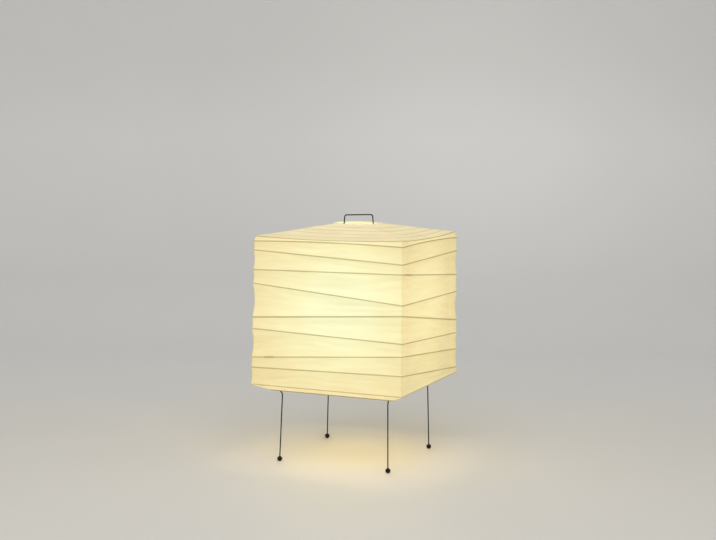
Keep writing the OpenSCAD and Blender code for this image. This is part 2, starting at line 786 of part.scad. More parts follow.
cap_wall = 0.45;
cap_top_z = 25;
module bulb_cap() {
    r = cap_d / 2;
    color([0.75, 0.75, 0.76]) translate([0, 0, tip_z]) rotate_extrude() polygon([
        [r - 4 - cap_wall, 3], [r - 4, 2.6], [r - 1, 4.5], [r, 7], [r, cap_top_z], [r - cap_wall, cap_top_z],
        [r - cap_wall, 7.2], [r - 1 - cap_wall, 5], [r - 4 - cap_wall, 3.6]
    ]);
}

module bulb_insulator() {
    r = cap_d / 2 - 4 - cap_wall - slip;
    color([0.04, 0.04, 0.05]) translate([0, 0, tip_z]) rotate_extrude() polygon([
        [3.5, 1], [5.5, 1], [r, 2.9], [r, 4.5], [0, 4.5], [0, 2.6], [3.5, 2.6]
    ]);
}

module bulb_contact() {
    color([0.70, 0.70, 0.72]) translate([0, 0, tip_z]) rotate_extrude() polygon([
        [0, 0], [2.2, 0.2], [3.2, 0.7], [3.5 - slip, 1.3], [3.5 - slip, 2.6 - slip], [0, 2.6 - slip]
    ]);
}

mount_top_z = 56;
module bulb_mount() {
    flare = neck_r - glass_t - slip;
    color([0.90, 0.92, 0.90, 0.6]) translate([0, 0, tip_z]) rotate_extrude() polygon([
        [0, neck_low_z + 4], [4, neck_low_z + 4], [flare - 1, neck_low_z + 1], [flare, neck_low_z + 1],
        [flare, neck_low_z + 2], [5, neck_low_z + 7], [3.4, neck_low_z + 14], [3.4, mount_top_z - 5],
        [2.4, mount_top_z], [0, mount_top_z]
    ]);
}

lead_d = 0.8;
filament_d = 0.9;
filament_r = 11;
filament_drop = 6;
module bulb_filament() {
    low = mount_top_z + slip;
    half = [[1.4, low], [1.4, low + 3], [filament_r, bulb_reach + filament_drop]];
    color([0.45, 0.44, 0.42]) translate([0, 0, tip_z])
        bent_wire([each half, for (i = [2 : -1 : 0]) [-half[i].x, half[i].y]], [2, 1.5, 1.5, 2], lead_d);
}

wall_paper(0);  // side_paper_front
wall_paper(1);  // side_paper_right
wall_paper(2);  // side_paper_back
wall_paper(3);  // side_paper_left
top_paper(0);  // top_paper_front
top_paper(1);  // top_paper_right
top_paper(2);  // top_paper_back
top_paper(3);  // top_paper_left
bottom_paper(0);  // bottom_paper_front
bottom_paper(1);  // bottom_paper_right
bottom_paper(2);  // bottom_paper_back
bottom_paper(3);  // bottom_paper_left
paper_laps();
ring_hem();
top_spiral_rib();
side_spiral_rib();
top_hoop();
bottom_hoop();
bottom_rim();
rib_splices();
top_ring();
upright();
leg(0);  // leg_front_left
leg(1);  // leg_front_right
leg(2);  // leg_back_right
leg(3);  // leg_back_left
foot(0);  // foot_front_left
foot(1);  // foot_front_right
foot(2);  // foot_back_right
foot(3);  // foot_back_left
hub_plate();
upright_sockets();
stem_tube();
stem_nuts();
cord_bush();
holder_cap();
holder_body();
holder_insulator();
holder_screw_shell();
holder_contact();
holder_terminals();
bulb_glass();
bulb_cap();
bulb_insulator();
bulb_contact();
bulb_mount();
bulb_filament();
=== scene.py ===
"""Dresses the paper table lamp: the paper shade, its bamboo, the wire frame, the lampholder and the bulb.

The solids of the lamp come in as a fixed frame. The paper is built again here as fine sheets that draw in
between the lines of bamboo, with the wrinkles of pasted mulberry paper. The screw cap, the screw shell and
the stem get their threads, and every other piece keeps its shape and gets its finish.
"""

from __future__ import annotations

import json
import logging
import math
from dataclasses import dataclass, replace
from enum import Enum
from typing import Callable

import bpy
import numpy as np
from mathutils import Matrix, Vector, noise


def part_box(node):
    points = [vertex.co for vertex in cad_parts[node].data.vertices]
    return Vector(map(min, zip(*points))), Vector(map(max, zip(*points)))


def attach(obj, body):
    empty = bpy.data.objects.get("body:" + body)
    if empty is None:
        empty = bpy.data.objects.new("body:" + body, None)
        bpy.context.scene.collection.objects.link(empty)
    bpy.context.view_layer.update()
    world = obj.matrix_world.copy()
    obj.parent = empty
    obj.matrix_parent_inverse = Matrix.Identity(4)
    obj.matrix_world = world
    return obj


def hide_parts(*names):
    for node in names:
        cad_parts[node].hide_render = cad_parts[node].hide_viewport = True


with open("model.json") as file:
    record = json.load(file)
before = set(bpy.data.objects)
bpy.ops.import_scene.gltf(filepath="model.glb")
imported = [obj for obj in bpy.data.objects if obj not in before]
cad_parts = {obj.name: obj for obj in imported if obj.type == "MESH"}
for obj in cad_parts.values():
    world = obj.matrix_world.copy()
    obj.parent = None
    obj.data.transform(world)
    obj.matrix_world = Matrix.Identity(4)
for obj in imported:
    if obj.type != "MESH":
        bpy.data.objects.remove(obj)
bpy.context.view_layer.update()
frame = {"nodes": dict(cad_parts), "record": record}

log = logging.getLogger("paper_lamp")

MM = 0.001
Array = np.ndarray
Socket = bpy.types.NodeSocket
Point = tuple[float, float, float]
Colour = Point
Stops = tuple[tuple[float, Colour], ...]
Numbers = float | Array
Value = float | Socket
Skin = tuple[Array, Callable[[Array, Array], Array]]


class Body(Enum):
    """The bodies of the frame that new pieces ride on."""

    LAMP = "lamp"
    BULB = "bulb"


class Side(Enum):
    """The four sides of the shade, in the order in which the bamboo runs round them."""

    FRONT = 0
    RIGHT = 1
    BACK = 2
    LEFT = 3

    @property
    def label(self) -> str:
        """The side's name as the frame's nodes use it."""
        return self.name.lower()

    @property
    def next_corner(self) -> int:
        """The number of the corner at this side's right end."""
        return (self.value + 1) % 4

    @property
    def turn(self) -> tuple[int, int]:
        """The cosine and the sine of the angle by which this side stands turned from the front one."""
        angle = math.pi / 2 * self.value
        return round(math.cos(angle)), round(math.sin(angle))

    def place(self, across: Array, half: Array, height: Array, gap: float = 0.0) -> Array:
        """Puts points on this side of the shade.

        Args:
            across: where each point lies, from 0 at the side's left corner to 1 at its right one.
            half: how far the side stands from the lamp's axis there.
            height: the height above the floor.
            gap: how far the points keep from the mitred corners.

        Returns:
            The points, with x, y and z in the last axis.
        """
        c, s = self.turn
        along = (2 * across - 1) * (half - gap)
        return np.stack(np.broadcast_arrays(c * along + s * half, s * along - c * half, height), -1)


def mix(start: Numbers, stop: Numbers, share: Numbers) -> Numbers:
    """The value that lies a share of the way from start to stop."""
    return start + (stop - start) * share


def arch(share: Numbers) -> Numbers:
    """The rise of an arch over its chord, 0 at both ends and 1 in the middle."""
    return 4 * share * (1 - share)


def low(node: str) -> Vector:
    """The lowest corner of a node at rest."""
    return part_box(node)[0]


def high(node: str) -> Vector:
    """The highest corner of a node at rest."""
    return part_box(node)[1]


def ripple(points: Array, seed: float) -> Array:
    """Smooth noise at each point, from -1 to 1.

    Args:
        points: places in the noise, already scaled.
        seed: moves the whole field, so that each sheet has its own.

    Returns:
        One value for each point.
    """
    flat = points.reshape(-1, 3)
    values = [noise.noise(Vector((p[0] + seed, p[1], p[2]))) for p in flat]
    return np.array(values).reshape(points.shape[:-1])


def put(name: str, points: Array, faces: Array, finish: bpy.types.Material, body: Body,
        slot: str, *nodes: str) -> bpy.types.Object:
    """Makes a piece from its points and faces and puts it into the scene.

    Args:
        name: the piece's name.
        points: one row of x, y and z for each vertex.
        faces: one row of vertex numbers for each face.
        finish: its material.
        body: the body that it rides on.
        slot: the record's material slot; not used.
        nodes: the frame's nodes that it stands for.

    Returns:
        The new object, in the lamp's own frame.
    """
    mesh = bpy.data.meshes.new(name)
    mesh.from_pydata(points.tolist(), [], faces.tolist())
    mesh.polygons.foreach_set("use_smooth", np.ones(len(faces), bool))
    mesh.materials.append(finish)
    mesh.update()
    piece = bpy.data.objects.new(name, mesh)
    bpy.context.scene.collection.objects.link(piece)
    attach(piece, body.value)
    if nodes:
        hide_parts(*nodes)
    log.info("piece %s: %d faces", name, len(faces))
    return piece


def wrapped(index: Array) -> Array:
    """Four-cornered faces over a grid of vertex numbers that closes on itself in both directions."""
    right, up = np.roll(index, -1, 1), np.roll(index, -1, 0)
    return np.stack([index, right, np.roll(right, -1, 0), up], -1).reshape(-1, 4)


class Tree:
    """A material's nodes, written one call at a time."""

    def __init__(self, name: str) -> None:
        """Starts a material with only its output.

        Args:
            name: the material's name.
        """
        self.material = bpy.data.materials.new(name)
        self.material.use_nodes = True
        self.nodes = self.material.node_tree.nodes
        self.links = self.material.node_tree.links
        self.nodes.clear()
        self.output = self.nodes.new("ShaderNodeOutputMaterial")

    def add(self, kind: str, inputs: dict | None = None, **settings) -> bpy.types.Node:
        """Adds a node.

        Args:
            kind: the node's type without its ShaderNode prefix.
            inputs: for each socket, by name or number, a value or the socket that feeds it.
            settings: the node's own properties.

        Returns:
            The new node.
        """
        made = self.nodes.new("ShaderNode" + kind)
        for key, value in settings.items():
            setattr(made, key, value)
        for key, value in (inputs or {}).items():
            if isinstance(value, Socket):
                self.links.new(value, made.inputs[key])
            else:
                made.inputs[key].default_value = value
        return made

    def math(self, operation: str, *values: Value) -> Socket:
        """Combines numbers, each a value or a socket, by one of the Math node's operations."""
        return self.add("Math", dict(enumerate(values)), operation=operation).outputs[0]

    def product(self, first: Value, *others: Value) -> Socket:
        """Multiplies any count of numbers, each a value or a socket."""
        for other in others:
            first = self.math("MULTIPLY", first, other)
        return first

    def read(self, name: str) -> Socket:
        """The value that the mesh carries at each point under a name."""
        return self.add("Attribute", attribute_name=name).outputs["Fac"]

    def noise(self, scale: Colour, detail: float = 3.0, where: Socket | None = None,
              **more: float) -> Socket:
        """Noise, from 0 to 1.

        Args:
            scale: how many features there are to a metre along each axis.
            detail: how many finer layers are added.
            where: the coordinates, or None for the piece's own ones in metres.
            more: other sockets of the noise texture, such as Distortion.

        Returns:
            The noise's value.
        """
        where = where or self.add("TexCoord").outputs["Object"]
        scaled = self.add("Mapping", {"Vector": where, "Scale": scale}).outputs[0]
        return self.add("TexNoise", {"Vector": scaled, "Scale": 1.0, "Detail": detail, **more}).outputs[0]

    def span(self, value: Value, start: float, stop: float, to_start: float = 0.0, to_stop: float = 1.0,
             smooth: bool = True) -> Socket:
        """Maps a value from one range to another and holds it at the ends."""
        inputs = {"Value": value, "From Min": start, "From Max": stop, "To Min": to_start, "To Max": to_stop}
        kind = "SMOOTHSTEP" if smooth else "LINEAR"
        return self.add("MapRange", inputs, interpolation_type=kind).outputs[0]

    def ramp(self, value: Socket, stops: Stops) -> Socket:
        """Colours a value by a ramp.

        Args:
            value: the socket to read.
            stops: places from 0 to 1, each with its colour.

        Returns:
            The ramp's colour.
        """
        made = self.add("ValToRGB", {"Fac": value})
        elements = made.color_ramp.elements
        while len(elements) < len(stops):
            elements.new(0.5)
        for element, (place, _) in zip(elements, stops):
            element.position = place
        for element, (_, colour) in zip(elements, stops):
            element.color = (*colour, 1.0)
        return made.outputs[0]

    def times(self, colour: Socket, value: Value) -> Socket:
        """A colour times a value, which may be a number or a socket."""
        return self.add("VectorMath", {0: colour, "Scale": value}, operation="SCALE").outputs[0]

    def tint(self, colour: Socket, other: Socket) -> Socket:
        """One colour times another."""
        return self.add("VectorMath", {0: colour, 1: other}, operation="MULTIPLY").outputs[0]

    def bump(self, height: Socket, depth: float, strength: float = 1.0) -> Socket:
        """A normal from a height, where 1 stands for the depth in metres."""
        return self.add("Bump", {"Height": height, "Distance": depth, "Strength": strength}).outputs[0]

    def shade(self, **sockets) -> bpy.types.Material:
        """Ends the material in one principled shader.

        Args:
            sockets: the shader's sockets, with underscores for spaces.

        Returns:
            The material.
        """
        inputs = {key.replace("_", " "): value for key, value in sockets.items()}
        shader = self.add("BsdfPrincipled", inputs)
        self.links.new(shader.outputs[0], self.output.inputs[0])
        return self.material


@dataclass(frozen=True)
class PaperFinish:
    """Thin mulberry paper, lit from the bulb behind it.

    The glow is painted light from the bulb: it follows the distance from the middle of the light, in the lamp's
    own coordinates. The bamboo behind the paper paints a shadow line on the glow and on the paper's colour where
    the sheet's own distance to it falls to nothing, and the glow is painted dimmer along the corners. The
    creases run along the bamboo, because they follow the sheet's own way down from line to line, and on the
    walls their slopes carry painted light and shade.
    """

    name: str
    paper: Colour
    over_rib: Colour
    glow: Stops
    behind_rib: Colour = (0.34, 0.33, 0.18)
    near: float = 171 * MM
    far: float = 328 * MM
    light: Point = (34 * MM, -40 * MM, 403 * MM)
    rib_shade: tuple[float, float] = (0.5 * MM, 2.4 * MM)
    corner_shade: tuple[float, float] = (0.3 * MM, 3.2 * MM)
    at_corner: float = 0.86
    relief: float = 0.7 * MM

    def material(self) -> bpy.types.Material:
        """Builds the paper's nodes."""
        tree = Tree(self.name)
        where = tree.add("TexCoord").outputs["Object"]
        away = tree.add("VectorMath", {0: where, 1: self.light}, operation="DISTANCE").outputs["Value"]
        reach = tree.span(away, self.near, self.far, smooth=False)
        axes = tree.add("SeparateXYZ", {0: where}).outputs
        along = tree.add("CombineXYZ", {0: axes[0], 1: axes[1], 2: tree.read("down")}).outputs[0]
        clouds = tree.noise((6.0, 6.0, 26.0), 3.0, Roughness=0.55, Distortion=0.5)
        creases = tree.noise((11.0, 11.0, 150.0), 3.0, along, Roughness=0.6, Distortion=0.7)
        threads = tree.noise((45.0, 45.0, 520.0), 2.0, along, Roughness=0.6, Distortion=0.8)
        # Paper texture, with painted light and shade on the walls' wrinkle slopes from the fold mark; on the
        # roof the fold mark is plain noise, and on the band it follows the wrinkles' height.
        lit = tree.product(tree.span(clouds, 0.3, 0.7, 0.972, 1.022), tree.span(creases, 0.3, 0.7, 0.975, 1.02),
                           tree.span(threads, 0.3, 0.7, 0.989, 1.009),
                           self.fibres(tree, (16.0, 16.0, 30.0)), self.fibres(tree, (45.0, 45.0, 60.0)),
                           tree.span(tree.read("fold"), -1.0, 1.0, 0.95, 1.03, smooth=False))
        # Painted shadow of the bamboo: the glow and the paper's colour turn darker over each strip.
        clear = tree.span(tree.read("rib"), *self.rib_shade)
        # Painted shade: the glow is dimmed along the corners.
        corner = tree.span(tree.read("corner"), *self.corner_shade, self.at_corner)
        rib_shadow_tint = tree.ramp(clear, ((0.0, self.behind_rib), (1.0, (1.0, 1.0, 1.0))))
        warmed = tree.ramp(tree.span(lit, 0.90, 1.05, smooth=False),
                           ((0.0, (0.93, 0.885, 0.79)), (0.667, (1.0, 1.0, 1.0)), (1.0, (1.03, 1.05, 1.08))))
        glow = tree.tint(tree.tint(tree.ramp(reach, self.glow), rib_shadow_tint), warmed)
        surface = tree.times(tree.ramp(clear, ((0.0, self.over_rib), (1.0, self.paper))), lit)
        pulp = tree.noise((900.0, 900.0, 900.0), 2.0)
        height = tree.math("ADD", creases, tree.product(pulp, 0.12))
        return tree.shade(Base_Color=surface, Roughness=0.82, Specular_IOR_Level=0.25,
                          Normal=tree.bump(height, self.relief, 0.5),
                          Emission_Color=tree.times(glow, corner), Emission_Strength=1.0)

    def toned(self, name: str, tone: Colour) -> PaperFinish:
        """The same paper under another name, with its glow times a colour."""
        glow = tuple((at, tuple(c * share for c, share in zip(colour, tone))) for at, colour in self.glow)
        return replace(self, name=name, glow=glow)

    def turned(self) -> PaperFinish:
        """The same paper for the sides away from the camera: its light lies in the lamp's other half."""
        x, y, z = self.light
        return replace(self, light=(-x, -y, z))

    @staticmethod
    def fibres(tree: Tree, scale: Colour) -> Socket:
        """A factor just under 1 on long thin fibres, which lie where a slow noise crosses its middle."""
        away = tree.math("ABSOLUTE", tree.math("SUBTRACT", tree.noise(scale, 1.0, Distortion=2.5), 0.5))
        return tree.span(away, 0.0, 0.012, 0.965)


@dataclass(frozen=True)
class PlainFinish:
    """A finish with one main colour, varied by a slow noise, and a fine relief."""

    name: str
    colour: Colour
    worn: Colour
    metallic: float = 0.0
    roughness: float = 0.5
    rough_span: float = 0.1
    specular: float = 0.5
    coat: float = 0.0
    patch: float = 120.0
    grain: Colour = (900.0, 900.0, 900.0)
    depth: float = 0.05 * MM
    glow: Colour = (0.0, 0.0, 0.0)
    glow_strength: float = 0.0

    def material(self) -> bpy.types.Material:
        """Builds the finish's nodes."""
        tree = Tree(self.name)
        patches = tree.noise((self.patch,) * 3, 4.0, Roughness=0.65)
        fine = tree.noise(self.grain, 3.0)
        colour = tree.ramp(patches, ((0.35, self.colour), (0.72, self.worn)))
        rough = tree.span(fine, 0.25, 0.75, self.roughness - self.rough_span, self.roughness + self.rough_span)
        return tree.shade(Base_Color=colour, Metallic=self.metallic, Roughness=rough,
                          Specular_IOR_Level=self.specular, Coat_Weight=self.coat,
                          Coat_Roughness=0.12, Normal=tree.bump(fine, self.depth),
                          Emission_Color=(*self.glow, 1.0), Emission_Strength=self.glow_strength)


@dataclass(frozen=True)
class BambooFinish:
    """Split bamboo: long pale and brown fibres along the strip, with a darker skin here and there."""

    name: str
    pale: Colour
    dark: Colour

    def material(self) -> bpy.types.Material:
        """Builds the bamboo's nodes."""
        tree = Tree(self.name)
        fibres = tree.noise((14.0, 14.0, 2600.0), 3.0, Distortion=0.2)
        skin = tree.noise((7.0, 7.0, 90.0), 3.0)
        share = tree.math("ADD", tree.product(fibres, 0.6), tree.product(skin, 0.4))
        return tree.shade(Base_Color=tree.ramp(share, ((0.34, self.dark), (0.62, self.pale))),
                          Roughness=tree.span(fibres, 0.3, 0.7, 0.45, 0.7),
                          Normal=tree.bump(fibres, 0.15 * MM, 0.6))


# Painted light: the glow of each paper, the bulb's light through it, from near the light to far from it.
WALL_GLOW = ((0.0, (0.542, 0.565, 0.28)), (0.15, (0.533, 0.508, 0.212)), (0.30, (0.525, 0.482, 0.186)),
             (0.57, (0.487, 0.404, 0.122)), (1.0, (0.43, 0.326, 0.062)))
SIDE_GLOW = ((0.0, (0.61, 0.525, 0.20)), (0.15, (0.575, 0.475, 0.17)), (0.30, (0.54, 0.435, 0.14)),
             (0.57, (0.47, 0.375, 0.115)), (1.0, (0.38, 0.30, 0.07)))
ROOF_GLOW = ((0.0, (0.375, 0.30, 0.095)), (1.0, (0.325, 0.235, 0.055)))
BAND_GLOW = ((0.0, (0.60, 0.51, 0.23)), (1.0, (0.55, 0.45, 0.18)))
HEM_GLOW = ((0.0, (0.30, 0.32, 0.24)), (1.0, (0.30, 0.32, 0.24)))
CREAM = (0.56, 0.52, 0.42)
RIB_SHADOW_OLIVE = (0.476, 0.416, 0.26)

# Lit and shaded copies of one paper: each wall gets its own painted glow, the back and left papers are toned
# brighter in place of the front light that they don't get, and the laps a little brighter too.
FRONT_PAPER = PaperFinish("front_paper", CREAM, RIB_SHADOW_OLIVE, WALL_GLOW)
SIDE_PAPER = PaperFinish("side_paper", CREAM, RIB_SHADOW_OLIVE, SIDE_GLOW)
ROOF_PAPER = PaperFinish("top_paper", CREAM, RIB_SHADOW_OLIVE, ROOF_GLOW, behind_rib=(0.45, 0.45, 0.34))
BAND_PAPER = PaperFinish("band_paper", CREAM, RIB_SHADOW_OLIVE, BAND_GLOW)
HEM_PAPER = PaperFinish("hem_paper", CREAM, RIB_SHADOW_OLIVE, HEM_GLOW)
LAP_PAPER = SIDE_PAPER.toned("lap_paper", (1.06, 1.06, 1.06))
BACK_PAPER = FRONT_PAPER.toned("back_paper", (1.15, 1.04, 0.95)).turned()
LEFT_PAPER = SIDE_PAPER.toned("left_paper", (1.05, 1.01, 0.97)).turned()
LEFT_LAP_PAPER = SIDE_PAPER.toned("left_lap_paper", (1.11, 1.07, 1.03)).turned()

FINISHES = {finish.name: finish for finish in (
    BambooFinish("split_bamboo", (0.62, 0.47, 0.24), (0.36, 0.24, 0.10)),
    BambooFinish("rim_bamboo", (0.60, 0.45, 0.22), (0.33, 0.21, 0.08)),
    BambooFinish("batten_bamboo", (0.55, 0.40, 0.19), (0.30, 0.19, 0.08)),
    PlainFinish("black_wire", (0.008, 0.006, 0.004), (0.014, 0.011, 0.008), roughness=0.45, specular=0.15,
                patch=60.0, depth=0.03 * MM),
    PlainFinish("black_rubber", (0.006, 0.004, 0.003), (0.011, 0.008, 0.006), roughness=0.55, specular=0.2,
                grain=(1500.0,) * 3),
    PlainFinish("plated_steel", (0.62, 0.60, 0.56), (0.50, 0.47, 0.41), metallic=1.0, roughness=0.32),
    PlainFinish("bush_plastic", (0.020, 0.020, 0.020), (0.032, 0.031, 0.030), roughness=0.55),
    PlainFinish("holder_plastic", (0.018, 0.015, 0.013), (0.030, 0.024, 0.020), roughness=0.24, coat=0.4),
    PlainFinish("white_porcelain", (0.80, 0.78, 0.72), (0.72, 0.69, 0.62), roughness=0.18, coat=0.6),
    PlainFinish("contact_brass", (0.72, 0.53, 0.22), (0.56, 0.38, 0.14), metallic=1.0, roughness=0.30),
    PlainFinish("bulb_glass", (0.92, 0.90, 0.84), (0.90, 0.87, 0.80), roughness=0.35, glow=(1.0, 0.76, 0.48),
                glow_strength=31.0),
    PlainFinish("cap_aluminium", (0.74, 0.74, 0.74), (0.62, 0.61, 0.60), metallic=1.0, roughness=0.30),
    PlainFinish("black_glass", (0.010, 0.010, 0.012), (0.016, 0.016, 0.018), roughness=0.12, coat=0.5),
    PlainFinish("solder", (0.60, 0.60, 0.61), (0.48, 0.48, 0.49), metallic=1.0, roughness=0.42),
    PlainFinish("stem_glass", (0.80, 0.83, 0.80), (0.74, 0.77, 0.74), roughness=0.10, coat=0.5),
    PlainFinish("filament_wire", (0.42, 0.40, 0.38), (0.34, 0.32, 0.30), metallic=1.0, roughness=0.4,
                glow=(1.0, 0.80, 0.45), glow_strength=6.0),
)}


@dataclass
class Sheet:
    """One sheet of paper: two grids of points, close together, and what the material reads from them."""

    outer: Array
    inner: Array
    marks: dict[str, Array]
    rests_on: tuple[str, ...]

    def build(self, name: str, finish: bpy.types.Material, slot: str, *nodes: str) -> None:
        """Makes the sheet's closed mesh, on the lamp's body.

        Args:
            name: the piece's name.
            finish: its material.
            slot: the record's material slot.
            nodes: the frame's nodes that it stands for.
        """
        rows, cols = self.outer.shape[:2]
        count = rows * cols
        index = np.arange(count).reshape(rows, cols)
        a, b, c, d = index[:-1, :-1], index[:-1, 1:], index[1:, 1:], index[1:, :-1]
        front = np.stack([a, d, c, b], -1).reshape(-1, 4)
        back = np.stack([a, b, c, d], -1).reshape(-1, 4) + count
        edges = [self.edge(index[0], count, True), self.edge(index[-1], count, False),
                 self.edge(index[:, 0], count, False), self.edge(index[:, -1], count, True)]
        points = np.concatenate([self.outer.reshape(-1, 3), self.inner.reshape(-1, 3)])
        piece = put(name, points, np.concatenate([front, back, *edges]), finish, Body.LAMP, slot, *nodes)
        smooth = np.ones(len(piece.data.polygons), bool)
        smooth[2 * len(front):] = False
        piece.data.polygons.foreach_set("use_smooth", smooth)
        for label, values in self.marks.items():
            both = np.tile(np.broadcast_to(values, (rows, cols)).ravel(), 2).astype(np.float32)
            piece.data.attributes.new(label, "FLOAT", "POINT").data.foreach_set("value", both)

    def flat(self) -> tuple[float, float]:
        """The sheet's width and length when it lies flat."""
        across = np.linalg.norm(np.diff(self.outer, axis=1), axis=-1).sum(1).max()
        down = np.linalg.norm(np.diff(self.outer, axis=0), axis=-1).sum(0).max()
        return float(across), float(down)

    @staticmethod
    def edge(line: Array, count: int, forward: bool) -> Array:
        """The narrow faces that join the two grids along one side."""
        a, b = line[:-1], line[1:]
        quads = np.stack([a, b, b + count, a + count], -1)
        return quads if forward else quads[:, ::-1]


@dataclass
class PaperShade:
    """The box-shaped shade: four walls, a low roof with an opening, and a narrow band turned in below.

    The turns are where the bamboo stands at the corners, front left, front right, back right, back left,
    as percentages: of the wall from the hoop down, and of the way in from the top edge to the ring.
    """

    wall_start: float = 1.5
    wall_turns: tuple = (
        (6.5, 12, 10, 15),
        (20, 18.5, 27.5, 28.5),
        (29.5, 39, 40, 46.5),
        (53, 46, 61, 61),
        (61, 64.5, 70.5, 76),
        (81, 73, 82.5, 85),
        (88, 86, 96, 98.5),
    )
    roof_start: float = 94
    roof_turns: tuple = (
        (88, 86, 78, 76),
        (67, 66, 55, 53),
        (48, 43, 37, 32),
        (19, 25, 21, 14),
        (2, 2, 3.5, 3),
    )
    fold_end: float = -25
    ridge_swell: tuple = (30.5, 35.5, 37, 33)
    swell_power: float = 1.5
    hoop_bow: float = 3.6 * MM
    roof_sag: float = 5.2 * MM
    draw_in: float = 0.045
    slip: float = 0.05 * MM
    paper: float = 0.5 * MM
    thick: float = 0.4 * MM
    lap_thick: float = 0.3 * MM
    lap_bed: float = 0.15 * MM
    lap_front: float = 28 * MM
    lap_back: float = 48 * MM
    rib_width: float = 2.8 * MM
    grid: float = 4.5 * MM
    wrinkle: float = 0.9 * MM
    calm_gap: float = 25 * MM
    band_step: float = 60 * MM
    band_swell: float = 0.8 * MM
    batten_wider: float = 0.9 * MM
    # The painted shadow of this line of bamboo is drawn wider by so much, as for a stouter strip.
    stout_line: int = 5
    stouter: float = 0.35 * MM
    battens: tuple = ((Side.FRONT, 7, 36 * MM, 22 * MM), (Side.RIGHT, 3, 8 * MM, 50 * MM),
                      (Side.BACK, 5, 36 * MM, 50 * MM), (Side.LEFT, 5, 8 * MM, 50 * MM))
    near_rows: tuple = (0.0, 0.7 * MM, 1.4 * MM, 2.1 * MM, 2.8 * MM, 4.2 * MM)

    def __post_init__(self) -> None:
        """Reads the shade's main sizes from the frame."""
        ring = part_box("top_ring")
        self.half_low = high("bottom_paper_front").x + self.slip
        self.width = 2 * self.half_low
        self.half_high = high("top_paper_front").x + self.slip
        self.bottom_z = low("side_paper_front").z - self.slip - self.paper
        self.ring_z = (ring[0].z + ring[1].z) / 2
        self.ring_half = ring[1].x - (ring[1].z - ring[0].z) / 2
        self.hem_r = (high("ring_hem").z - low("ring_hem").z) / 2
        self.rim_edge = high("bottom_rim").x + self.slip
        self.rim_z = low("bottom_paper_front").z
        self.top_z = high("top_hoop").z - self.hoop_bow
        inset = self.roof_turns[-1][0] / 100
        self.half_high = (self.half_high - inset * self.ring_half) / (1 - inset)
        self.rise = self.ring_z - self.top_z

    def half_at(self, z: Array) -> Array:
        """Half the width of the shade over the paper, at each height."""
        return mix(self.half_low, self.half_high, (z - self.bottom_z) / (self.top_z - self.bottom_z))

    def wall_z(self, percent: float) -> float:
        """The height of a place on the wall, given as a percentage from the hoop down."""
        return mix(self.top_z, self.bottom_z + self.paper + self.slip, percent / 100)

    def ridge_at(self, corner: int, percent: float) -> Array:
        """A place on a corner's ridge.

        Args:
            corner: the corner's number.
            percent: how far in it is, or with a minus how far down from the outermost strip to the hoop.

        Returns:
            The half width and the height there.
        """
        if percent < 0:
            fold = self.ridge_at(corner, self.roof_turns[-1][corner])
            return mix(fold, np.array([self.half_high, self.top_z]), -percent / 100)
        way = percent / 100
        lift = way + self.ridge_swell[corner] / 100 * (1 - way) ** self.swell_power
        return np.array([mix(self.half_high, self.ring_half, way), self.top_z + self.rise * lift])

    @staticmethod
    def crossings(start: float, turns: tuple, side: Side) -> list[tuple[float, float]]:
        """The two ends of each line where a wound strip crosses a side, turn by turn."""
        strip = [start, *(place for turn in turns for place in turn)]
        first = side.value + (-3 if side is Side.LEFT else 1)
        return [(strip[4 * turn + first], strip[4 * turn + first + 1]) for turn in range(len(turns))]

    def roof_ends(self, side: Side) -> list[tuple[float, float]]:
        """The two ends of each line on one side of the roof, from the fold inwards."""
        fold = [(self.roof_turns[-1][3], self.fold_end)] if side is Side.LEFT else []
        return fold + self.crossings(self.roof_start, self.roof_turns, side)[::-1]

    def roof_line(self, side: Side, ends: tuple[float, float], across: Array) -> Array:
        """Half width and height of a line of the roof at places across its side, in two rows."""
        left, right = self.ridge_at(side.value, ends[0]), self.ridge_at(side.next_corner, ends[1])
        line = mix(left[:, None], right[:, None], across)
        way = np.maximum(0.0, mix(ends[0], ends[1], across)) / 100
        line[1] -= self.roof_sag * (1 - way) * arch(across)
        return line

    def wall_line(self, side: Side, ends: tuple[float, float], across: Array) -> Array:
        """Half width and height of a line of a wall at places across it, in two rows."""
        z = mix(self.wall_z(ends[0]), self.wall_z(ends[1]), across)
        if ends == (0, 0):
            z = z + self.hoop_bow * arch(across)
        return np.stack([self.half_at(z), z])

    def columns(self, start: float, stop: float, length: float) -> Array:
        """Places across a sheet, closer together at its ends.

        Args:
            start: the first place, as a share of the wall.
            stop: the last place.
            length: the wall's length.

        Returns:
            The places, as shares of the wall.
        """
        count = max(4, round((stop - start) * length / (1.4 * self.grid)))
        inside = np.linspace(start, stop, count + 1)
        near = np.array([1, 2.5, 5]) * MM / length
        extra = [at for at in (*near, *(1 - near)) if start < at < stop]
        return np.unique(np.concatenate([inside, extra]))

    def parts(self, gap: Array, last: bool) -> Array:
        """Rows between two lines, closer together beside them.

        Args:
            gap: the distance between the lines at each column.
            last: True where the second line's own row is added.

        Returns:
            For each row and column, the share of the way from the first line.
        """
        reach = self.near_rows[-1]
        near = np.array(self.near_rows)[:, None] * np.minimum(1.0, gap / (3 * reach)) / gap
        count = max(2, round((gap.max() - 2 * reach) / self.grid))
        inner = mix(near[-1], 1 - near[-1], (np.arange(1, count) / count)[:, None])
        return np.concatenate([near, inner, 1 - near[:0:-1], np.ones((int(last), len(gap)))])

    def band(self, above: Array, below: Array, last: bool) -> tuple[Array, Array, Array]:
        """Lays rows between two lines of half widths and heights.

        Args:
            above: the upper line.
            below: the lower line.
            last: True where the lower line's own row is added.

        Returns:
            The rows' shares of the way down, their half widths and heights, and the lines' distance.
        """
        gap = np.hypot(*(above - below))
        part = self.parts(gap, last)
        return part, mix(above[:, None], below[:, None], part), gap

